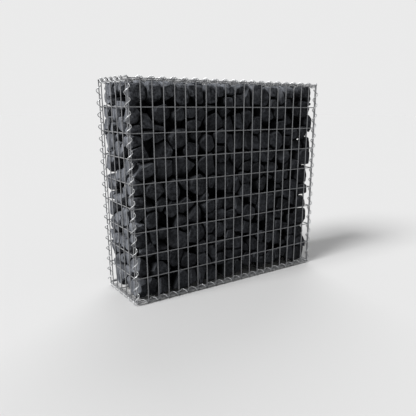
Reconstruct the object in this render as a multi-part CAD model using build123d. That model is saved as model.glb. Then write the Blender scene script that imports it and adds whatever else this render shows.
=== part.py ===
"""Free-standing gabion wall: a basket of six welded wire mesh panels, laced along
its twelve edges with spiral wires and packed with broken stone in courses.

X runs along the wall, Y through it, Z up. The front faces -Y. The origin is at the
middle of the length and of the depth, level with the lowest turns of the base spirals."""
from build123d import *
import math
import os

# Basket, measured between the axes of the edge wires of its panels
length = 1000.0
depth = 300.0
height = 900.0

# Welded mesh: the close wires form the outer layer of every panel
mesh_wire = 4.5
weld_sink = 0.8
close_spacing = 50.0
wide_spacing = 100.0
wire_end = 3.0
wire_sides = 4

# How neighbouring panels meet: their edge wires lie side by side inside the spirals
corner_out = 3.8
corner_back = 10.2
lid_gap = 6.0

# Spiral wires: turns are made of straight steps that enclose the round turn's area
spiral_wire = 4.0
spiral_diameter = 25.0
spiral_pitch = 50.0
spiral_steps = 6
spiral_sides = 4
spiral_seat = 0.25
spiral_gap = 2.0

# Where the turns stand: the upright spirals point into the basket at this height above
# the bottom row, and two of the short ones are shifted off the long wires they cross
upright_turn = 37.0
crossing_shift = 8.0

# Stone fill, one solid for each course of stones
stone_rub = 0.3
spiral_clearance = 1.0
bed_chamfer = 7.0

# Room left by missing stones at the corners of each course, from the ground up:
# back left along X and along Y, front right, back right
open_corners = [
    (52.0, 92.0, 36.0, 34.0),
    (32.0, 48.0, 64.0, 30.0),
    (28.0, 40.0, 28.0, 44.0),
    (26.0, 30.0, 30.0, 30.0),
    (26.0, 30.0, 34.0, 36.0),
    (28.0, 34.0, 46.0, 30.0),
    (32.0, 46.0, 32.0, 48.0),
    (28.0, 40.0, 36.0, 32.0),
    (30.0, 38.0, 32.0, 40.0),
]

# Radii that follow: a stepped turn's corners and flats lie outside and inside the round one
wire_radius = mesh_wire / 2
layer_step = mesh_wire - weld_sink
turn_radius = (spiral_diameter - spiral_wire) / 2
step_angle = 2 * math.pi / spiral_steps
corner_radius = turn_radius * math.sqrt(step_angle / math.sin(step_angle))
flat_radius = corner_radius * math.cos(step_angle / 2)
spiral_reach = corner_radius + spiral_wire / 2
grip_radius = flat_radius - spiral_wire / 2 - wire_radius - spiral_seat

# Panel layers, on the positive side of each axis
side_x = length / 2
side_y = depth / 2
end_x = side_x + corner_out
end_wire_y = side_y - corner_back
lid_rows = height + lid_gap
lid_columns = lid_rows + layer_step


def spaced(first, last, spacing):
    """Wire positions from one edge wire to the other in whole cells; what is left
    over makes a narrow last cell, or widens it if there is no room for a wire."""
    cells = max(int((last - first) / spacing), 1)
    places = [first + spacing * cell for cell in range(cells + 1)]
    if last - places[-1] > 2 * mesh_wire:
        return places + [last]
    return places[:-1] + [last]


def wires(plane, places, start, end):
    """Parallel wires side by side along a plane's X, each running along its Y."""
    section = RegularPolygon(wire_radius, wire_sides)
    lying = Plane(origin=plane.origin, x_dir=plane.x_dir, z_dir=plane.y_dir)
    return [extrude(lying.offset(start) * Pos(place, 0) * section, end - start) for place in places]


def mesh_panel(outside, columns, rows):
    """A welded panel on a plane that faces out of the basket: columns run along the
    plane's Y, and rows run across them, sunk a little into their inner side."""
    inside = outside.offset(-layer_step)
    crosswise = Plane(origin=inside.origin, x_dir=inside.y_dir, z_dir=-inside.z_dir)
    upright = wires(outside, columns, rows[0] - wire_end, rows[-1] + wire_end)
    across = wires(crosswise, rows, columns[0] - wire_end, columns[-1] + wire_end)
    return upright[0].fuse(*upright[1:], *across)


def gripping_axis(wire_a, wire_b, loose_side):
    """Centre, across the edge, of a spiral that touches two parallel wires from
    outside; where they lie closer than it could grip, it moves to the loose side."""
    apart = wire_b - wire_a
    play = math.sqrt(max(grip_radius**2 - (apart.length / 2) ** 2, 0))
    sideways = Vector(-apart.Y, apart.X).normalized()
    if sideways.dot(loose_side) < 0:
        sideways = -sideways
    return (wire_a + wire_b) / 2 + sideways * play


def spiral(axis, start, end, turn_at):
    """A right-handed spiral about a plane's Z between two heights on it. Its turns
    pass through the plane's X direction at turn_at and at each pitch from there."""
    first = math.ceil((start - turn_at) / spiral_pitch * spiral_steps)
    last = math.floor((end - turn_at) / spiral_pitch * spiral_steps)
    corners = []
    for step in range(first, last + 1):
        angle = step * step_angle
        x, y = corner_radius * math.cos(angle), corner_radius * math.sin(angle)
        corners.append(axis.from_local_coords(Vector(x, y, turn_at + spiral_pitch * step / spiral_steps)))
    cut = Plane(origin=corners[0], z_dir=corners[1] - corners[0])
    section = cut * RegularPolygon(spiral_wire / 2, spiral_sides)
    return sweep(section, path=Polyline(*corners), transition=Transition.RIGHT)


# Where the spirals run, across each kind of edge, on the positive side of each axis
upright_axis = gripping_axis(Vector(side_x, side_y), Vector(end_x, end_wire_y), Vector(1, 1))
long_axis = gripping_axis(
    Vector(side_y - layer_step, height), Vector(side_y, lid_rows), Vector(-1, 1)
)
short_axis = gripping_axis(
    Vector(end_x - layer_step, height), Vector(side_x, lid_columns), Vector(1, 0)
)

# Stone fill: its courses share the basket's height, it stops short of the mesh, and it
# is cut back around the spirals
course_height = height / len(open_corners)
fill_x = end_x - layer_step - wire_radius - stone_rub
fill_y = side_y - layer_step - wire_radius - stone_rub
fill_bottom = wire_radius - lid_gap
fill_top = lid_rows - wire_radius - stone_rub
diagonal_reach = (spiral_reach + spiral_clearance) * math.sqrt(2)
corner_cut = diagonal_reach - (upright_axis.X - fill_x) - (upright_axis.Y - fill_y)


def edge_cut(level):
    """How far the stones of the top course stand back from its spirals, with their top
    at a level, or those of the lowest course with their bed at that level's mirror image."""
    return max(
        diagonal_reach - (axis.X - reach) - (axis.Y - level)
        for axis, reach in ((long_axis, fill_y), (short_axis, fill_x))
    )


def front_panel():
    """The mesh of the long side towards the viewer."""
    plane = Plane(origin=(0, -side_y, 0), x_dir=(1, 0, 0), z_dir=(0, -1, 0))
    return mesh_panel(plane, spaced(-side_x, side_x, close_spacing), spaced(0, height, wide_spacing))


def back_panel():
    """The mesh of the far long side."""
    plane = Plane(origin=(0, side_y, 0), x_dir=(-1, 0, 0), z_dir=(0, 1, 0))
    columns = [-x for x in reversed(spaced(-side_x, side_x, close_spacing))]
    return mesh_panel(plane, columns, spaced(0, height, wide_spacing))


def end_panel(side):
    """The mesh of an end, -1 on the left and 1 on the right, its narrow cell at the back."""
    plane = Plane(origin=(side * end_x, 0, 0), x_dir=(0, side, 0), z_dir=(side, 0, 0))
    columns = sorted(side * y for y in spaced(-end_wire_y, end_wire_y, close_spacing))
    return mesh_panel(plane, columns, spaced(0, height, wide_spacing))


def flat_panel(side):
    """The lid, 1, or the base, -1."""
    middle = height / 2
    plane = Plane(
        origin=(0, 0, middle + side * (lid_columns - middle)), x_dir=(1, 0, 0), z_dir=(0, 0, side)
    )
    return mesh_panel(
        plane, spaced(-side_x, side_x, close_spacing), spaced(-side_y, side_y, wide_spacing)
    )


def upright_spiral(side, face):
    """Lacing of an upright edge: side is -1 left or 1 right, face is -1 front or 1 back."""
    inward = Vector(-side, -face, 0)
    axis = Plane(
        origin=(side * upright_axis.X, face * upright_axis.Y, 0), x_dir=inward, z_dir=(0, 0, 1)
    )
    lowest = fill_bottom + spiral_reach + spiral_gap
    return spiral(axis, lowest, height - lowest, upright_turn)


def long_spiral(face, level):
    """Lacing along X: face is -1 front or 1 back, level is -1 base or 1 top."""
    middle = height / 2
    origin = (0, face * long_axis.X, middle + level * (long_axis.Y - middle))
    axis = Plane(origin=origin, x_dir=(0, 0, level), z_dir=(1, 0, 0))
    reach = short_axis.X - spiral_reach - spiral_gap
    return spiral(axis, -reach, reach, -side_x)


def short_spiral(side, level):
    """Lacing along Y: side is -1 left or 1 right, level is -1 base or 1 top."""
    middle = height / 2
    origin = (side * short_axis.X, 0, middle + level * (short_axis.Y - middle))
    axis = Plane(origin=origin, x_dir=(0, 0, level), z_dir=(0, 1, 0))
    last_turn = spaced(-end_wire_y, end_wire_y, close_spacing)[-2]
    shift = crossing_shift if side == level else 0
    return spiral(axis, -side_y, last_turn + spiral_pitch / 3, -end_wire_y - shift)


def stone_course(number):
    """One course of broken stone, its corners open where stones are missing."""
    back_left_x, back_left_y, front_right, back_right = open_corners[number]
    outline = Polyline(
        (-fill_x + corner_cut, -fill_y),
        (fill_x - front_right, -fill_y),
        (fill_x, -fill_y + front_right),
        (fill_x, fill_y - back_right),
        (fill_x - back_right, fill_y),
        (-fill_x + back_left_x, fill_y),
        (-fill_x, fill_y - back_left_y),
        (-fill_x, -fill_y + corner_cut),
        close=True,
    )
    lowest = number == 0
    highest = number == len(open_corners) - 1
    bed = fill_bottom if lowest else course_height * number
    top = fill_top if highest else course_height * (number + 1)
    course = extrude(Plane.XY.offset(bed) * make_face(outline), top - bed)
    lower_cut = edge_cut(height - fill_bottom) if lowest else bed_chamfer
    upper_cut = edge_cut(fill_top) if highest else bed_chamfer
    course = chamfer(course.faces().sort_by(Axis.Z)[0].edges(), lower_cut)
    return chamfer(course.faces().sort_by(Axis.Z)[-1].edges(), upper_cut)


pieces = {
    "front_panel": front_panel(),
    "back_panel": back_panel(),
    "left_end_panel": end_panel(-1),
    "right_end_panel": end_panel(1),
    "lid_panel": flat_panel(1),
    "base_panel": flat_panel(-1),
}
for side, side_name in ((-1, "left"), (1, "right")):
    for face, face_name in ((-1, "front"), (1, "back")):
        pieces[f"{face_name}_{side_name}_spiral"] = upright_spiral(side, face)
for level, level_name in ((-1, "base"), (1, "top")):
    for face, face_name in ((-1, "front"), (1, "back")):
        pieces[f"{level_name}_{face_name}_spiral"] = long_spiral(face, level)
    for side, side_name in ((-1, "left"), (1, "right")):
        pieces[f"{level_name}_{side_name}_spiral"] = short_spiral(side, level)
for number in range(len(open_corners)):
    pieces[f"stone_course_{number + 1}"] = stone_course(number)

# The wall stands on its base spirals, so the whole is lifted until they touch the ground
ground = min(piece.bounding_box().min.Z for piece in pieces.values())
os.makedirs("parts", exist_ok=True)
for name, piece in pieces.items():
    export_step(Pos(0, 0, -ground) * piece, f"parts/{name}.step")
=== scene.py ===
"""Looks of the free-standing gabion wall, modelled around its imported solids.

Metres: +X runs along the wall, +Y from its front to its back, +Z up."""

import math
import random

import bmesh
import bpy
from mathutils import Euler, Matrix, Vector


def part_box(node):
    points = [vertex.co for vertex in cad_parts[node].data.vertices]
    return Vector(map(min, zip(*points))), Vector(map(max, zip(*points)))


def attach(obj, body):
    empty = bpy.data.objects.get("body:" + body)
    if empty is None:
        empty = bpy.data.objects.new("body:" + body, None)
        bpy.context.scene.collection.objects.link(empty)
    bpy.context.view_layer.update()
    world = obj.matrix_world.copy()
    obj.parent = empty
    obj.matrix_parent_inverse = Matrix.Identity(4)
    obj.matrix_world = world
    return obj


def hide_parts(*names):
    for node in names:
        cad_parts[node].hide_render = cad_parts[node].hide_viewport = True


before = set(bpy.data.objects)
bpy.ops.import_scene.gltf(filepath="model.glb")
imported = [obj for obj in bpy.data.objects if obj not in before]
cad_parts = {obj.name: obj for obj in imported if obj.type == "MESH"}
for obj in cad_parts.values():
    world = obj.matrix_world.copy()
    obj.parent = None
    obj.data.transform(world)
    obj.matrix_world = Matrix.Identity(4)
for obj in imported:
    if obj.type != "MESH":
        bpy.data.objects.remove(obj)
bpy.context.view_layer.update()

MM = 0.001
X, Y, Z = 0, 1, 2

# Welded mesh, in whole cells and a narrow last one where there is room for it
WIRE_RADIUS = 2.25 * MM
WELD_SINK = 0.8 * MM
WIRE_END = 3 * MM
CLOSE_SPACING = 50 * MM
WIDE_SPACING = 100 * MM
NARROWEST_CELL = 9 * MM
CELL_ROUNDING = 0.001
WIRE_SIDES = 12
SHEARED_EDGE_ANGLE = math.radians(60)
END_BEVEL = 0.5 * MM
MESH_EDGE_ANGLE = math.radians(40)

# Weld beads, one at each crossing
BEAD_RADIUS = 3.3 * MM
BEAD_THICKNESS = 2.2 * MM
BEAD_SEGMENTS = 8
BEAD_RINGS = 5

# Spiral wire, and where its turns stand: the upright spirals point into the basket at a
# height above the bottom row, and two of the short ones are shifted off the wires they cross
SPIRAL_WIRE_RADIUS = 2 * MM
SPIRAL_DIAMETER = 25 * MM
SPIRAL_PITCH = 50 * MM
SPIRAL_STEPS = 20
SPIRAL_SIDES = 10
SPIRAL_EDGE_ANGLE = math.radians(50)
UPRIGHT_TURN = 37 * MM
CROSSING_SHIFT = 8 * MM

# Stones: how they are scattered, with their middles no nearer to a wall than a share of
# their radius
STONE_SEED = 11
STONE_RADII = (21 * MM, 42 * MM)
STONE_TRIES = 12000
WALL_NEAR = 0.55

# The block that a stone is cut from, how near a wall has to be to cut it, how many
# neighbours cut it, and the room left at the joints between them
STONE_BLOCK = 300 * MM
WALL_REACH = 200 * MM
NEIGHBOURS = 22
JOINT = (1.8 * MM, 5.5 * MM)
WIDE_JOINT = (4 * MM, 10 * MM)
WIDE_JOINT_SHARE = 0.2
JOINT_TILT = 0.06

# How far stones' faces turn at random, and stand back from the mesh: less at the two ends
FACE_TILT = 0.2
FACE_BACK = (0 * MM, 14 * MM)
END_FACE_TILT = 0.08
END_FACE_BACK = (0 * MM, 6 * MM)

# Stones stay this far inside a spiral's axis. Every spiral is longer than the second value,
# and thinner than it across.
SPIRAL_CLEAR = 14 * MM
SHORTEST_SPIRAL = 150 * MM

# Stones that the photograph shows, and gaps between them, as seen square on: how far
# along the face and how far up their middle is, and half their width, in mm. The front
# is measured from its left edge wire and the left end from its back one, both upwards
# from the bottom row.
FRONT_STONES = (
    (32, 48, 36), (80, 45, 26), (140, 45, 38), (232, 50, 30), (285, 58, 26), (335, 62, 24),
    (380, 45, 24), (488, 50, 36), (130, 90, 14), (533, 50, 26), (605, 75, 32), (645, 70, 24),
    (684, 48, 22), (742, 55, 30), (789, 62, 24), (837, 72, 26), (885, 60, 28), (937, 55, 28),
    (130, 175, 24), (32, 140, 38), (122, 125, 32), (198, 158, 30), (268, 132, 38),
    (340, 178, 24), (342, 125, 28), (385, 150, 20), (437, 168, 30), (440, 110, 26),
    (490, 175, 26), (490, 118, 24), (536, 167, 28), (538, 118, 24), (592, 135, 18),
    (632, 145, 30), (688, 178, 22), (702, 105, 42), (742, 150, 26), (790, 150, 30),
    (835, 115, 18), (887, 175, 20), (887, 130, 26), (940, 165, 30), (945, 110, 24),
    (38, 265, 38), (95, 275, 18), (130, 268, 26), (205, 245, 41), (235, 290, 14),
    (306, 246, 43), (383, 270, 26), (385, 215, 16), (436, 242, 34), (484, 270, 26),
    (492, 222, 22), (65, 208, 36), (128, 215, 18), (537, 252, 30), (577, 238, 22),
    (635, 228, 26), (686, 272, 24), (737, 272, 20), (747, 222, 28), (802, 275, 30),
    (794, 225, 24), (838, 215, 18), (887, 235, 28), (937, 250, 28),
    (140, 405, 28), (185, 375, 30), (255, 385, 38), (355, 410, 22), (375, 372, 32),
    (305, 335, 38), (85, 342, 34), (25, 370, 28), (30, 315, 24), (440, 375, 26),
    (485, 370, 32), (225, 320, 24), (395, 325, 22), (440, 325, 26), (490, 320, 22),
    (537, 355, 32), (602, 312, 38), (635, 368, 26), (682, 350, 32), (737, 350, 34),
    (787, 385, 18), (825, 325, 34), (836, 378, 18), (885, 355, 26), (937, 380, 22),
    (937, 325, 28), (80, 395, 22),
    (25, 482, 34), (108, 465, 39), (198, 455, 37), (236, 485, 14), (318, 470, 46),
    (392, 468, 18), (435, 460, 28), (488, 455, 30), (28, 425, 18), (525, 450, 26),
    (577, 480, 22), (590, 420, 38), (688, 445, 30), (732, 480, 16), (785, 468, 26),
    (835, 470, 22), (837, 425, 22), (887, 422, 24), (937, 462, 32), (787, 408, 18),
    (18, 570, 20), (60, 545, 36), (150, 550, 42), (248, 555, 45), (368, 557, 45),
    (440, 585, 24), (443, 535, 28), (490, 530, 26), (535, 572, 28), (580, 578, 18),
    (628, 578, 26), (592, 530, 28), (655, 508, 40), (686, 574, 24), (728, 580, 24),
    (742, 515, 30), (812, 572, 42), (838, 525, 22), (887, 525, 26), (937, 565, 28),
    (28, 665, 28), (82, 690, 18), (135, 680, 22), (228, 675, 44), (310, 690, 20),
    (372, 650, 36), (440, 670, 34), (490, 650, 24), (45, 618, 32), (150, 632, 30),
    (285, 625, 34), (435, 625, 18), (540, 655, 36), (590, 650, 26), (633, 640, 22),
    (690, 648, 36), (764, 645, 42), (832, 640, 24), (834, 682, 14), (886, 668, 28),
    (902, 615, 32), (943, 682, 22),
    (26, 762, 30), (80, 742, 30), (148, 770, 38), (228, 765, 26), (288, 775, 20),
    (328, 765, 22), (300, 725, 28), (400, 738, 40), (385, 790, 16), (455, 782, 26),
    (488, 728, 32), (30, 715, 18), (135, 718, 20), (527, 742, 26), (582, 748, 32),
    (642, 725, 36), (702, 768, 36), (782, 775, 28), (792, 722, 20), (837, 750, 32),
    (888, 780, 22), (937, 775, 26),
    (52, 852, 42), (120, 848, 38), (183, 858, 27), (238, 848, 34), (287, 860, 22),
    (328, 850, 28), (382, 850, 32), (432, 862, 24), (485, 870, 26), (478, 822, 20),
    (538, 880, 20), (535, 830, 26), (584, 848, 32), (633, 852, 32), (684, 842, 28),
    (737, 868, 30), (735, 826, 18), (785, 845, 30), (835, 872, 26), (832, 824, 20),
    (937, 868, 28), (932, 815, 20),
)
FRONT_GAPS = (
    (435, 45, 20), (175, 75, 14), (585, 30, 18), (640, 22, 16), (797, 22, 12), (830, 28, 12),
    (78, 165, 14), (285, 176, 12), (578, 180, 16), (785, 108, 12), (836, 158, 20),
    (575, 95, 10), (130, 238, 10), (636, 278, 14), (690, 230, 16), (838, 248, 12),
    (890, 283, 12), (135, 335, 16), (182, 325, 12), (585, 366, 15), (785, 345, 12),
    (85, 420, 12), (235, 422, 15), (290, 425, 14), (388, 425, 14), (440, 418, 12),
    (635, 432, 18), (736, 430, 24), (886, 470, 18), (75, 508, 10), (302, 520, 10),
    (682, 538, 10), (754, 560, 11), (800, 520, 12), (887, 570, 14), (95, 650, 18),
    (232, 618, 12), (330, 600, 12), (832, 612, 12), (185, 728, 17), (230, 725, 14),
    (635, 780, 16), (692, 718, 12), (738, 718, 17), (886, 732, 14), (932, 730, 8),
    (345, 705, 10), (72, 805, 13), (285, 815, 16), (440, 824, 13), (886, 845, 25),
    (935, 838, 10), (515, 790, 12), (200, 812, 12),
)
END_STONES = (
    (80, 60, 30), (130, 75, 24), (187, 60, 32), (130, 150, 28), (185, 165, 26),
    (187, 108, 22), (80, 182, 22), (35, 180, 26), (85, 140, 18), (75, 225, 30),
    (135, 225, 30), (190, 228, 30), (190, 285, 24), (80, 282, 24), (35, 365, 34),
    (185, 345, 42), (238, 378, 22), (92, 325, 32), (138, 325, 20), (30, 470, 30),
    (90, 490, 22), (190, 455, 28), (30, 415, 26), (85, 405, 30), (138, 422, 26),
    (135, 495, 14), (35, 560, 30), (85, 585, 24), (185, 528, 34), (130, 520, 26),
    (70, 660, 36), (145, 630, 34), (190, 640, 26), (85, 618, 22), (150, 680, 14),
    (35, 785, 26), (85, 787, 26), (135, 772, 34), (222, 780, 26), (185, 803, 18),
    (180, 732, 34), (60, 735, 28), (88, 712, 20), (235, 718, 26), (82, 862, 34),
    (138, 872, 26), (190, 872, 26), (242, 878, 22), (95, 822, 24), (45, 822, 26),
    (228, 820, 34),
)
END_GAPS = (
    (145, 35, 16), (92, 105, 17), (140, 108, 14), (130, 185, 13), (237, 208, 16),
    (135, 270, 18), (90, 258, 10), (78, 372, 16), (133, 372, 18), (185, 395, 14),
    (85, 447, 19), (135, 458, 17), (183, 412, 14), (236, 418, 16), (82, 535, 18),
    (132, 562, 22), (182, 576, 15), (238, 580, 15), (236, 625, 18), (180, 675, 11),
    (132, 705, 17), (182, 775, 10), (132, 832, 19), (182, 838, 15), (226, 855, 12),
    (92, 758, 10),
)

# How deep behind the face their middles lie, and the least share of both their radii that
# two of them are apart
SEEN_DEPTH = (22 * MM, 38 * MM)
CROWDING = 0.6

# Stones: how they are broken and worn. A chip keeps a share of the block's reach, and the
# outer stones, within so many radii of a wall, have more of them round that face.
CHIPS = (2, 5)
CHIP_KEEPS = (0.72, 0.94)
OUTER_ROW = 1.3
EDGE_CHIPS = (3, 5)
EDGE_CHIP_LEAN = (0.5, 1.6)
EDGE_CHIP_KEEPS = (0.8, 0.96)
SHORT_EDGE = 4 * MM
EDGE_WEAR = 0.28
ROUGHNESS = 0.7 * MM
LARGEST_ROUGHNESS_SEED = 12000
STONE_EDGE_ANGLE = math.radians(18)

# Dust, with painted light, lies on faces that look to the lamp side: none where they look that
# way by less than the first of two shares, and all of it from the second. It lies in patches,
# none of it where noise is under the first of two levels, and all of it from the second.
LAMP_SIDE = (-0.75, 0.0, 0.66)
DUST_AND_LIGHT_LOOK = (0.34, 0.7)
DUST_AND_LIGHT_PATCHES = (0.25, 0.62)

# It lies in full, as painted light, up to the first of two depths below the lid and behind the
# left end, and is down to its sheltered amount at the second, as painted shade deeper in
DUST_AND_LIGHT_DEPTH = (35 * MM, 110 * MM)

# Painted light from above pales the stones down to a depth below the lid. A thin film of painted
# light lies on those near the left end, none below the first of two heights and all of it above
# the second.
TOP_LIGHT_DEPTH = 110 * MM
TOP_PAINTED_LIGHT = 0.62
END_LIGHT_LENGTH = 450 * MM
END_LIGHT_HEIGHTS = (150 * MM, 500 * MM)
END_PAINTED_LIGHT = 0.33

# Painted shade: stones are darkened inside the wall, from one of two depths to the other, which
# lie deeper behind a wall that faces the lamp side
SHADE_DEPTH = (4 * MM, 30 * MM)
PAINTED_SHADE = 0.85
LAMP_SIDE_SHARE = 0.6

# Colours of the stones, from the darkest to the palest, of the painted shade deep inside, and of
# the dust and painted light that lie on them
DARK_STONE = (0.0147, 0.0158, 0.0184)
PALE_STONE = (0.0545, 0.058, 0.0665)
MOTTLE_GREY = (0.082, 0.087, 0.098)
SPECK_GREY = (0.157, 0.163, 0.177)
PIT_BLACK = (0.010, 0.0104, 0.0115)
SHADE_BLACK = (0.004, 0.004, 0.0045)
STONE_DUST_AND_LIGHT = (0.262, 0.275, 0.303)

# Zinc: its darkest and palest spangles, and how metallic its bright and its dull patches are
MESH_SPANGLE = ((0.148, 0.152, 0.16), (0.246, 0.25, 0.26))
MESH_SHINE = (0.4, 0.1)
SPIRAL_SPANGLE = ((0.42, 0.43, 0.44), (0.66, 0.67, 0.68))
SPIRAL_SHINE = (0.85, 0.4)
DULL_ZINC = (0.205, 0.209, 0.217)
# Dust on the wires, with painted light on their sides turned to the lamp
ZINC_DUST_AND_LIGHT = (0.40, 0.40, 0.405)

# Studio: a pale floor that throws little light back, even light, a broad lamp high on
# the left and a weaker one behind on the right, each with its lean from straight down,
# its turn, its strength and its spread
FLOOR_SIZE = 80
FLOOR_TONE = 0.66
FLOOR_BOUNCE = 0.35
AMBIENT = 0.24
LAMPS = (
    (math.radians(48), math.radians(-84), 3.6, math.radians(25)),
    (math.radians(50), math.radians(145), 1.2, math.radians(40)),
)

# The photograph's camera, in its frame of 416 by 416 pixels
PHOTO_SIZE = 416
FOCAL_PIXELS = 455.1
CENTRE_PIXEL = (224.8, 228.5)
CAMERA_PLACE = (-1.2343, -1.8128)
CAMERA_ABOVE_BOTTOM_ROW = 0.8056
CAMERA_DOWN = math.radians(15.07)
CAMERA_TURN = math.radians(35.44)
CAMERA_ROLL = math.radians(0.34)
CAMERA_CLIP = (0.01, 200)
SENSOR = 36.0


def only(piece):
    """Selects one piece and makes it active."""
    bpy.ops.object.select_all(action="DESELECT")
    piece.select_set(True)
    bpy.context.view_layer.objects.active = piece


def open_mesh(piece, select="SELECT"):
    """Opens a piece in edit mode with all of it selected, or nothing."""
    only(piece)
    bpy.ops.object.mode_set(mode="EDIT")
    bpy.ops.mesh.select_all(action=select)


def close_mesh():
    """Goes back from edit mode."""
    bpy.ops.object.mode_set(mode="OBJECT")


def settle(piece):
    """Puts the piece's place into its mesh."""
    only(piece)
    bpy.ops.object.transform_apply(location=True, rotation=True, scale=True)


def join(pieces, name):
    """Joins pieces into one with that name."""
    bpy.ops.object.select_all(action="DESELECT")
    for piece in pieces:
        piece.select_set(True)
    bpy.context.view_layer.objects.active = pieces[0]
    if len(pieces) > 1:
        bpy.ops.object.join()
    pieces[0].name = pieces[0].data.name = name
    return pieces[0]


def smooth(piece, angle):
    """Shades a piece smooth up to an angle between its faces."""
    only(piece)
    bpy.ops.object.shade_smooth_by_angle(angle=angle)


def stand_for(piece, node):
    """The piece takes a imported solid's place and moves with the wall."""
    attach(piece, "root")
    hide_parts(node)
    return piece


# Wire
def spaced(first, last, spacing):
    """Wire places in whole cells, with a narrow last cell where there is room for one."""
    cells = max(int((last - first) / spacing + CELL_ROUNDING), 1)
    places = [first + spacing * cell for cell in range(cells + 1)]
    if last - places[-1] > NARROWEST_CELL:
        return places + [last]
    return places[:-1] + [last]


def turned_along(axis):
    """Rotation that lays a primitive's Z along an axis."""
    return ((0, math.pi / 2, 0), (-math.pi / 2, 0, 0), (0, 0, 0))[axis]


def repeat(piece, axis, places):
    """Copies all of a piece's mesh from the first place on to each of the others."""
    open_mesh(piece)
    for before, after in zip(places, places[1:]):
        step = Vector()
        step[axis] = after - before
        bpy.ops.mesh.duplicate()
        bpy.ops.transform.translate(value=step)
    close_mesh()


def straight_wire(along, centre, length):
    """One straight wire with sheared, slightly rounded ends."""
    bpy.ops.mesh.primitive_cylinder_add(
        vertices=WIRE_SIDES, radius=WIRE_RADIUS, depth=length,
        location=centre, rotation=turned_along(along),
    )
    piece = bpy.context.object
    settle(piece)
    open_mesh(piece, "DESELECT")
    bpy.ops.mesh.select_mode(type="EDGE")
    bpy.ops.mesh.edges_select_sharp(sharpness=SHEARED_EDGE_ANGLE)
    bpy.ops.mesh.bevel(offset=END_BEVEL, segments=1, affect="EDGES")
    bpy.ops.mesh.select_mode(type="VERT")
    close_mesh()
    return piece


def weld_bead(centre, out):
    """The flat bead that a weld squeezes out between two crossing wires."""
    bpy.ops.mesh.primitive_uv_sphere_add(
        segments=BEAD_SEGMENTS, ring_count=BEAD_RINGS, radius=BEAD_RADIUS,
        location=centre, rotation=turned_along(out),
    )
    piece = bpy.context.object
    piece.scale.z = BEAD_THICKNESS / BEAD_RADIUS
    settle(piece)
    return piece


def mesh_panel(node, out, side, close_axis, wide_axis):
    """A welded panel: its close wires form the outer layer and run along wide_axis,
    and its wide wires cross them on their inner side."""
    low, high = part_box(node)
    middle = (low + high) / 2
    outer = low[out] + WIRE_RADIUS if side < 0 else high[out] - WIRE_RADIUS
    inner = outer - side * (2 * WIRE_RADIUS - WELD_SINK)
    columns = spaced(low[close_axis] + WIRE_END, high[close_axis] - WIRE_END, CLOSE_SPACING)
    rows = spaced(low[wide_axis] + WIRE_END, high[wide_axis] - WIRE_END, WIDE_SPACING)

    def spot(level, close, wide):
        """The place at a level through the panel, on its close axis and its wide axis."""
        place = Vector()
        place[out], place[close_axis], place[wide_axis] = level, close, wide
        return place

    upright = straight_wire(
        wide_axis, spot(outer, columns[0], middle[wide_axis]), high[wide_axis] - low[wide_axis]
    )
    repeat(upright, close_axis, columns)
    across = straight_wire(
        close_axis, spot(inner, middle[close_axis], rows[0]), high[close_axis] - low[close_axis]
    )
    repeat(across, wide_axis, rows)
    beads = weld_bead(spot((outer + inner) / 2, columns[0], rows[0]), out)
    repeat(beads, close_axis, columns)
    repeat(beads, wide_axis, rows)
    piece = join([upright, across, beads], node.replace("panel", "mesh"))
    smooth(piece, MESH_EDGE_ANGLE)
    return stand_for(piece, node)


def lacing(node, along, crest, crest_at):
    """A right-handed spiral wire in a node's place. Its turns pass on the crest side
    of their axis at crest_at and at each pitch from there."""
    low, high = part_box(node)
    start = low[along] + SPIRAL_WIRE_RADIUS
    length = high[along] - SPIRAL_WIRE_RADIUS - start
    turn_radius = SPIRAL_DIAMETER / 2 - SPIRAL_WIRE_RADIUS
    turns = length / SPIRAL_PITCH
    climb = math.atan2(SPIRAL_PITCH / math.tau, turn_radius)
    bpy.ops.mesh.primitive_circle_add(
        vertices=SPIRAL_SIDES, radius=SPIRAL_WIRE_RADIUS,
        location=(turn_radius, 0, 0), rotation=(climb - math.pi / 2, 0, 0),
    )
    piece = bpy.context.object
    settle(piece)
    coil = piece.modifiers.new("coil", "SCREW")
    coil.angle = math.tau * turns
    coil.screw_offset = length
    coil.steps = coil.render_steps = round(turns * SPIRAL_STEPS)
    bpy.ops.object.modifier_apply(modifier=coil.name)
    open_mesh(piece, "DESELECT")
    bpy.ops.mesh.select_non_manifold()
    bpy.ops.mesh.edge_face_add()
    bpy.ops.mesh.select_all(action="SELECT")
    bpy.ops.mesh.normals_make_consistent(inside=False)
    close_mesh()
    axis = Vector([float(place == along) for place in (X, Y, Z)])
    crest = Vector(crest).normalized()
    basis = Matrix((crest, axis.cross(crest), axis)).transposed().to_4x4()
    turned = Matrix.Rotation((start - crest_at) / SPIRAL_PITCH * math.tau, 4, "Z")
    origin = (low + high) / 2
    origin[along] = start
    piece.matrix_world = Matrix.Translation(origin) @ basis @ turned
    settle(piece)
    smooth(piece, SPIRAL_EDGE_ANGLE)
    piece.name = piece.data.name = node.replace("spiral", "lacing")
    return stand_for(piece, node)


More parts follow.
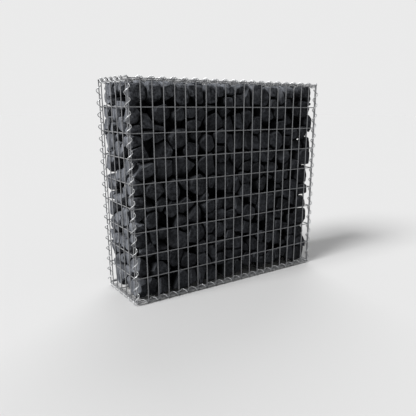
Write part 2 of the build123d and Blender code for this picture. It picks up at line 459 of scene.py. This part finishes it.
def basket():
    """The six welded panels and the twelve spirals that lace their edges."""
    front_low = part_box("front_panel")[0]
    end_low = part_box("left_end_panel")[0]
    bottom_row = front_low.z + WIRE_END
    mesh = [
        mesh_panel("front_panel", Y, -1, X, Z),
        mesh_panel("back_panel", Y, 1, X, Z),
        mesh_panel("left_end_panel", X, -1, Y, Z),
        mesh_panel("right_end_panel", X, 1, Y, Z),
        mesh_panel("lid_panel", Z, 1, X, Y),
        mesh_panel("base_panel", Z, -1, X, Y),
    ]
    spirals = []
    for side, side_name in ((-1, "left"), (1, "right")):
        for face, face_name in ((-1, "front"), (1, "back")):
            node = f"{face_name}_{side_name}_spiral"
            spirals.append(lacing(node, Z, (-side, -face, 0), bottom_row + UPRIGHT_TURN))
    for level, level_name in ((-1, "base"), (1, "top")):
        for face_name in ("front", "back"):
            node = f"{level_name}_{face_name}_spiral"
            spirals.append(lacing(node, X, (0, 0, level), front_low.x + WIRE_END))
        for side, side_name in ((-1, "left"), (1, "right")):
            node = f"{level_name}_{side_name}_spiral"
            shift = CROSSING_SHIFT if side == level else 0
            spirals.append(lacing(node, Y, (0, 0, level), end_low.y + WIRE_END - shift))
    return mesh, spirals


# Stones: each is a block cut down by the planes halfway to its neighbours
def shade_share(outward):
    """How much of the depth behind a wall counts toward painted shade: less on the lamp side."""
    return 1 - LAMP_SIDE_SHARE * max(outward.dot(Vector(LAMP_SIDE)), 0)


def fill_walls(low, high):
    """Planes that the stones stay behind, as points with their outward normals and shares for
    painted shade: the six sides, and a slanting plane that keeps clear of each spiral."""
    walls = []
    for axis in (X, Y, Z):
        for point, sign in ((low, -1), (high, 1)):
            outward = Vector()
            outward[axis] = sign
            walls.append((point, outward, shade_share(outward)))
    middle = (low + high) / 2
    for node in sorted(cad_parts):
        if node.endswith("_spiral"):
            spiral_low, spiral_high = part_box(node)
            centre = (spiral_low + spiral_high) / 2
            extent = spiral_high - spiral_low
            outward = centre - middle
            for axis in (X, Y, Z):
                across = extent[axis] < SHORTEST_SPIRAL
                outward[axis] = math.copysign(1, outward[axis]) if across else 0
            outward.normalize()
            walls.append((centre - outward * SPIRAL_CLEAR, outward, shade_share(outward)))
    return walls


def free(spot, radius, seeds, share=1):
    """Whether a stone's place stands off all others by a share of both their radii."""
    return all((spot - other).length > (radius + near) * share for other, near, _ in seeds)


def seen_stones(draw, low):
    """Places and radii of the stones and gaps that the photograph shows, and whether
    there is a stone."""
    front_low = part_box("front_panel")[0]
    end_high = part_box("left_end_panel")[1]
    left, back, bottom = front_low.x + WIRE_END, end_high.y - WIRE_END, front_low.z + WIRE_END

    def behind_front(along, up, depth):
        """A place behind the front."""
        return Vector((left + along * MM, low.y + depth, bottom + up * MM))

    def behind_end(along, up, depth):
        """A place behind the left end."""
        return Vector((low.x + depth, back - along * MM, bottom + up * MM))

    seeds = []
    for behind, places, there in (
        (behind_front, FRONT_GAPS, False), (behind_front, FRONT_STONES, True),
        (behind_end, END_GAPS, False), (behind_end, END_STONES, True),
    ):
        for along, up, radius in places:
            spot = behind(along, up, draw.uniform(*SEEN_DEPTH))
            if free(spot, radius * MM, seeds, CROWDING):
                seeds.append((spot, radius * MM, there))
    return seeds


def scatter(draw, low, high):
    """Places and radii of all the stones and gaps: first those that the photograph
    shows, then the rest, the largest first, none too near another."""
    seeds = seen_stones(draw, low)
    radii = sorted((draw.uniform(*STONE_RADII) for _ in range(STONE_TRIES)), reverse=True)
    for radius in radii:
        inset = radius * WALL_NEAR
        spot = Vector([draw.uniform(low[axis] + inset, high[axis] - inset) for axis in (X, Y, Z)])
        if free(spot, radius, seeds):
            seeds.append((spot, radius, True))
    return seeds


def cut_away(point, outward):
    """Cuts the block being edited off at a plane."""
    bpy.ops.mesh.select_all(action="SELECT")
    bpy.ops.mesh.bisect(plane_co=point, plane_no=outward, use_fill=True, clear_outer=True)


def tilted(direction, draw, spread):
    """A direction turned a little at random."""
    return (direction + Vector([draw.gauss(0, spread) for _ in (X, Y, Z)])).normalized()


def chip(piece, spot, outward, share):
    """Breaks a flat chip off the block being edited, at a share of its reach that way."""
    corners = bmesh.from_edit_mesh(piece.data).verts
    reach = max((corner.co - spot).dot(outward) for corner in corners)
    cut_away(spot + outward * reach * share, outward)


def broken_stone(spot, radius, others, walls, draw):
    """One broken stone that nearly fills the room between its neighbours."""
    bpy.ops.mesh.primitive_cube_add(size=STONE_BLOCK, enter_editmode=True)
    piece = bpy.context.object
    bpy.ops.transform.translate(value=spot)
    for other, other_radius, _ in others:
        away = other - spot
        halfway = (away.length_squared + radius**2 - other_radius**2) / (2 * away.length)
        outward = tilted(away.normalized(), draw, JOINT_TILT)
        joint = WIDE_JOINT if draw.random() < WIDE_JOINT_SHARE else JOINT
        cut_away(spot + outward * (halfway - draw.uniform(*joint)), outward)
    for point, outward, _ in walls:
        room = (point - spot).dot(outward)
        if room < WALL_REACH:
            at_end = abs(outward.x) == 1
            face = room - draw.uniform(*(END_FACE_BACK if at_end else FACE_BACK))
            facing = tilted(outward, draw, END_FACE_TILT if at_end else FACE_TILT)
            cut_away(point, outward)
            cut_away(spot + outward * face, facing)
        if room < radius * OUTER_ROW:
            for _ in range(draw.randint(*EDGE_CHIPS)):
                sideways = outward.cross(tilted(outward, draw, 1)).normalized()
                edge = (outward + sideways * draw.uniform(*EDGE_CHIP_LEAN)).normalized()
                chip(piece, spot, edge, draw.uniform(*EDGE_CHIP_KEEPS))
    for _ in range(draw.randint(*CHIPS)):
        chip(piece, spot, tilted(Vector(), draw, 1), draw.uniform(*CHIP_KEEPS))
    bpy.ops.mesh.select_all(action="SELECT")
    bpy.ops.mesh.remove_doubles(threshold=SHORT_EDGE)
    bpy.ops.mesh.quads_convert_to_tris()
    bpy.ops.mesh.subdivide(number_cuts=2)
    bpy.ops.mesh.vertices_smooth(factor=EDGE_WEAR)
    bpy.ops.transform.vertex_random(
        offset=ROUGHNESS, uniform=0, normal=1, seed=draw.randint(0, LARGEST_ROUGHNESS_SEED)
    )
    close_mesh()
    tone = piece.data.attributes.new("stone_tone", "FLOAT", "POINT")
    tone.data.foreach_set("value", [draw.random()] * len(piece.data.vertices))
    # Depth behind the walls, for the painted shade deep inside
    depth = piece.data.attributes.new("stone_depth", "FLOAT", "POINT")
    depth.data.foreach_set("value", [
        min((point - corner.co).dot(outward) * share for point, outward, share in walls)
        for corner in piece.data.vertices
    ])
    return piece


def stone_fill():
    """The stones, joined by course. Those in a gap are missing, and so are those whose
    middle lies outside their course's solid, where its corners are open."""
    draw = random.Random(STONE_SEED)
    courses = sorted(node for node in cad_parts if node.startswith("stone_course_"))
    low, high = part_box(courses[0])[0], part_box(courses[-1])[1]
    seeds = scatter(draw, low, high)
    walls = fill_walls(low, high)
    fills = []
    for course in courses:
        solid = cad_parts[course]
        bed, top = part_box(course)
        stones = []
        for spot, radius, there in seeds:
            if not there or not bed.z <= spot.z < top.z:
                continue
            _, nearest, outward, _ = solid.closest_point_on_mesh(spot)
            if (spot - nearest).dot(outward) > 0:
                continue
            near = sorted(seeds, key=lambda seed: (seed[0] - spot).length)
            stones.append(broken_stone(spot, radius, near[1:NEIGHBOURS + 1], walls, draw))
        piece = join(stones, course.replace("stone", "stones"))
        smooth(piece, STONE_EDGE_ANGLE)
        fills.append(stand_for(piece, course))
    return fills


# Materials
def feed(tree, node, inputs):
    """Sets a node's inputs to values, or links them to other nodes' outputs."""
    for name, value in inputs.items():
        socket = node.inputs[name]
        if isinstance(value, bpy.types.NodeSocket):
            tree.links.new(value, socket)
        elif socket.type == "RGBA":
            socket.default_value = (*value, 1)
        else:
            socket.default_value = value


def add(tree, kind, inputs=(), **settings):
    """Adds a node, sets its properties and feeds its inputs."""
    made = tree.nodes.new(kind)
    for name, value in settings.items():
        setattr(made, name, value)
    feed(tree, made, dict(inputs))
    return made


def combine(tree, operation, *values):
    """A value worked out from others."""
    return add(tree, "ShaderNodeMath", enumerate(values), operation=operation).outputs[0]


def noise(tree, coordinates, scale, detail, rough=0.55):
    """Fractal noise over the surface."""
    made = add(tree, "ShaderNodeTexNoise", {
        "Vector": coordinates, "Scale": scale, "Detail": detail, "Roughness": rough,
    })
    return made.outputs["Fac"]


def between(tree, value, low, high, to_low=0, to_high=1):
    """A value taken from one range to another and held there."""
    made = add(tree, "ShaderNodeMapRange", {
        "Value": value, "From Min": low, "From Max": high, "To Min": to_low, "To Max": to_high,
    })
    return made.outputs["Result"]


def masked(tree, mask, outside, inside):
    """A value that changes with a mask, from where it is 0 to where it is 1."""
    return between(tree, mask, 0, 1, outside, inside)


def blend(tree, share, one, other):
    """One colour with another laid over it by a share."""
    made = add(tree, "ShaderNodeMix", data_type="RGBA")
    under, over = [place for place, socket in enumerate(made.inputs) if socket.type == "RGBA"]
    feed(tree, made, {"Factor": share, under: one, over: other})
    return next(socket for socket in made.outputs if socket.type == "RGBA")


def new_group(name, values, result):
    """An empty shader node group that takes coordinates and named values."""
    tree = bpy.data.node_groups.new(name, "ShaderNodeTree")
    tree.interface.new_socket("Coordinates", in_out="INPUT", socket_type="NodeSocketVector")
    for value in values:
        tree.interface.new_socket(value, in_out="INPUT", socket_type="NodeSocketFloat")
    tree.interface.new_socket(result, in_out="OUTPUT", socket_type="NodeSocketFloat")
    return tree, add(tree, "NodeGroupInput").outputs, add(tree, "NodeGroupOutput").inputs


def placed(tree, group, coordinates, values):
    """What a group puts out, placed in a material with its own values."""
    inputs = {"Coordinates": coordinates, **values}
    return add(tree, "ShaderNodeGroup", inputs, node_tree=group).outputs[0]


def lid_and_end():
    """How high the lid's mesh begins, and how far along the left end's mesh reaches."""
    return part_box("lid_panel")[0].z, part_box("left_end_panel")[1].x


def dust_and_light_group():
    """Dust and lime with painted light on faces that look to the lamp side, broken up by noise:
    the whole amount near the lid and the left end, and the sheltered amount elsewhere, as painted
    shade."""
    tree, given, result = new_group("dust_and_painted_light", ("Scale", "Amount", "Sheltered"), "Mask")
    coordinates = given["Coordinates"]
    normal = add(tree, "ShaderNodeNewGeometry").outputs["Normal"]
    # Painted light and dust: faces turned to the lamp side take the most
    look = add(tree, "ShaderNodeVectorMath", {0: normal, 1: LAMP_SIDE}, operation="DOT_PRODUCT")
    facing = between(tree, look.outputs["Value"], *DUST_AND_LIGHT_LOOK)
    patches = between(tree, noise(tree, coordinates, given["Scale"], detail=6), *DUST_AND_LIGHT_PATCHES)
    # Painted light in full near the lid and the left end; painted shade down to the sheltered
    # amount deeper in
    lid, end = lid_and_end()
    full, sheltered = DUST_AND_LIGHT_DEPTH
    place = add(tree, "ShaderNodeSeparateXYZ", {"Vector": coordinates}).outputs
    below_lid = between(tree, place["Z"], lid - sheltered, lid - full)
    behind_end = between(tree, place["X"], end + full, end + sheltered, to_low=1, to_high=0)
    in_open = combine(tree, "MAXIMUM", below_lid, behind_end)
    amount = masked(tree, in_open, given["Sheltered"], given["Amount"])
    dust_and_light_share = combine(tree, "MULTIPLY", combine(tree, "MULTIPLY", facing, patches), amount)
    tree.links.new(dust_and_light_share, result["Mask"])
    return tree


def grain_group():
    """Fine relief of a rough surface, on top of broader unevenness."""
    tree, given, result = new_group("surface_grain", ("Coarse", "Fine", "Fine share"), "Height")
    coarse = noise(tree, given["Coordinates"], given["Coarse"], detail=6, rough=0.62)
    fine = noise(tree, given["Coordinates"], given["Fine"], detail=3)
    relief = combine(tree, "MULTIPLY_ADD", fine, given["Fine share"], coarse)
    tree.links.new(relief, result["Height"])
    return tree


def new_material(name, pieces):
    """A material on the pieces, with its tree, its shader and object coordinates."""
    made = bpy.data.materials.new(name)
    made.use_nodes = True
    for piece in pieces:
        piece.data.materials.clear()
        piece.data.materials.append(made)
    tree = made.node_tree
    coordinates = add(tree, "ShaderNodeTexCoord").outputs["Object"]
    return tree, tree.nodes["Principled BSDF"], coordinates


def painted_top_and_end_light(tree, coordinates):
    """How much painted light from above pales the stones: most under the lid, and a film high up
    near the left end."""
    lid, end = lid_and_end()
    place = add(tree, "ShaderNodeSeparateXYZ", {"Vector": coordinates}).outputs
    under_lid = between(tree, place["Z"], lid - TOP_LIGHT_DEPTH, lid, 0, TOP_PAINTED_LIGHT)
    near_end = between(tree, place["X"], end, end + END_LIGHT_LENGTH, END_PAINTED_LIGHT, 0)
    high_up = between(tree, place["Z"], *END_LIGHT_HEIGHTS)
    return combine(tree, "MULTIPLY_ADD", near_end, high_up, under_lid)


def broken_basalt(pieces, dust_and_light, grain):
    """Dark crushed stone: grey to anthracite from stone to stone, mottled and dusty, with painted
    light on faces turned to the lamp and high up, and painted shade deep inside the wall.
    """
    tree, shader, coordinates = new_material("broken_basalt", pieces)
    tone = add(tree, "ShaderNodeAttribute", attribute_name="stone_tone").outputs["Fac"]
    stone = blend(tree, tone, DARK_STONE, PALE_STONE)
    mottle = noise(tree, coordinates, scale=55, detail=8, rough=0.68)
    mottle = between(tree, mottle, low=0.42, high=0.66)
    stone = blend(tree, masked(tree, mottle, outside=0, inside=0.7), stone, MOTTLE_GREY)
    specks = noise(tree, coordinates, scale=500, detail=3)
    specks = between(tree, specks, low=0.56, high=0.7, to_low=0, to_high=0.55)
    stone = blend(tree, specks, stone, SPECK_GREY)
    relief = placed(tree, grain, coordinates, {"Coarse": 70, "Fine": 460, "Fine share": 0.35})
    pits = between(tree, relief, low=0.56, high=0.74, to_low=0.7, to_high=0)
    stone = blend(tree, pits, stone, PIT_BLACK)
    # Dust and painted light on faces turned to the lamp, fuller near the lid and the left end
    dust_and_light_share = placed(tree, dust_and_light, coordinates, {"Scale": 24, "Amount": 0.85, "Sheltered": 0.34})
    stone = blend(tree, dust_and_light_share, stone, STONE_DUST_AND_LIGHT)
    # Painted light on the stones high under the lid and near the left end, in the dust's colour
    top_light = combine(tree, "MULTIPLY", painted_top_and_end_light(tree, coordinates), mottle)
    stone = blend(tree, top_light, stone, STONE_DUST_AND_LIGHT)
    # Painted shade: stones darken with depth behind the walls
    depth = add(tree, "ShaderNodeAttribute", attribute_name="stone_depth").outputs["Fac"]
    stone = blend(tree, between(tree, depth, *SHADE_DEPTH, 0, PAINTED_SHADE), stone, SHADE_BLACK)
    bump = add(tree, "ShaderNodeBump", {"Strength": 0.9, "Distance": 5 * MM, "Height": relief})
    feed(tree, shader, {
        "Base Color": stone,
        "Roughness": masked(tree, mottle, outside=0.78, inside=0.95),
        "Specular IOR Level": 0.06,
        "Normal": bump.outputs["Normal"],
    })


def galvanised(name, pieces, dust_and_light, grain, spangle, shine):
    """Hot-dip galvanised wire: zinc spangle, dull patches, and a little dust with painted light on
    the sides turned to the lamp.
    """
    tree, shader, coordinates = new_material(name, pieces)
    cells = add(tree, "ShaderNodeTexVoronoi", {"Vector": coordinates, "Scale": 260})
    tone = add(tree, "ShaderNodeSeparateColor", {"Color": cells.outputs["Color"]}).outputs["Red"]
    zinc = blend(tree, tone, *spangle)
    dull = between(tree, noise(tree, coordinates, scale=60, detail=5), low=0.45, high=0.65)
    zinc = blend(tree, masked(tree, dull, outside=0, inside=0.6), zinc, DULL_ZINC)
    # Dust and painted light on the wires' sides turned to the lamp
    dust_and_light_share = placed(tree, dust_and_light, coordinates, {"Scale": 90, "Amount": 0.6, "Sheltered": 0.05})
    zinc = blend(tree, dust_and_light_share, zinc, ZINC_DUST_AND_LIGHT)
    relief = placed(tree, grain, coordinates, {"Coarse": 300, "Fine": 1500, "Fine share": 0.3})
    bump = add(tree, "ShaderNodeBump", {"Strength": 0.3, "Distance": 0.3 * MM, "Height": relief})
    feed(tree, shader, {
        "Base Color": zinc,
        "Roughness": masked(tree, dull, outside=0.34, inside=0.6),
        "Metallic": masked(tree, dull, *shine),
        "Normal": bump.outputs["Normal"],
    })


# Floor, light and camera
def seen_rays(tree):
    """1 where the camera, a reflection or a clear piece shows the studio, 0 elsewhere."""
    rays = add(tree, "ShaderNodeLightPath").outputs
    seen = combine(tree, "MAXIMUM", rays["Is Camera Ray"], rays["Is Glossy Ray"])
    return combine(tree, "MAXIMUM", seen, rays["Is Transmission Ray"])


def pale_floor():
    """A wide pale floor that the wall stands on."""
    bpy.ops.mesh.primitive_plane_add(size=FLOOR_SIZE)
    floor = bpy.context.object
    floor.name = "floor"
    tree, shader, _ = new_material("pale_floor", [floor])
    tone = blend(tree, seen_rays(tree), (FLOOR_BOUNCE,) * 3, (FLOOR_TONE,) * 3)
    feed(tree, shader, {"Base Color": tone, "Roughness": 0.9, "Specular IOR Level": 0})


def studio_light():
    """Even light from all round, broad soft lamps, and a backdrop as bright as the floor."""
    world = bpy.data.worlds.new("studio")
    bpy.context.scene.world = world
    world.use_nodes = True
    tree = world.node_tree
    tree.nodes.clear()
    lamp_light = sum(strength * math.cos(lean) for lean, _, strength, _ in LAMPS) / math.pi
    backdrop = FLOOR_TONE * (AMBIENT + lamp_light)
    level = masked(tree, seen_rays(tree), AMBIENT, backdrop)
    lit = add(tree, "ShaderNodeBackground", {"Color": (1, 1, 1), "Strength": level})
    add(tree, "ShaderNodeOutputWorld", {"Surface": lit.outputs["Background"]})
    for lean, turn, strength, spread in LAMPS:
        bpy.ops.object.light_add(type="SUN", rotation=(lean, 0, turn))
        lamp = bpy.context.object.data
        lamp.energy = strength
        lamp.angle = spread


def photo_camera(bottom_row):
    """The camera at the photograph's place, angle and framing."""
    data = bpy.data.cameras.new("camera")
    camera = bpy.data.objects.new("camera", data)
    bpy.context.scene.collection.objects.link(camera)
    bpy.context.scene.camera = camera
    data.sensor_width = SENSOR
    data.lens = FOCAL_PIXELS / PHOTO_SIZE * SENSOR
    data.shift_x = 0.5 - CENTRE_PIXEL[0] / PHOTO_SIZE
    data.shift_y = CENTRE_PIXEL[1] / PHOTO_SIZE - 0.5
    data.clip_start, data.clip_end = CAMERA_CLIP
    camera.location = (*CAMERA_PLACE, CAMERA_ABOVE_BOTTOM_ROW + bottom_row)
    aim = Euler((math.pi / 2 - CAMERA_DOWN, 0, -CAMERA_TURN), "XYZ").to_matrix()
    roll = Matrix.Rotation(CAMERA_ROLL, 3, "Z")
    camera.rotation_euler = (aim @ roll).to_euler()


panels, spirals = basket()
stones = stone_fill()
dust_and_light = dust_and_light_group()
grain = grain_group()
broken_basalt(stones, dust_and_light, grain)
galvanised("galvanised_mesh", panels, dust_and_light, grain, MESH_SPANGLE, MESH_SHINE)
galvanised("galvanised_spiral", spirals, dust_and_light, grain, SPIRAL_SPANGLE, SPIRAL_SHINE)
pale_floor()
studio_light()
photo_camera(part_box("front_panel")[0].z + WIRE_END)
bpy.context.scene.view_settings.view_transform = "Standard"
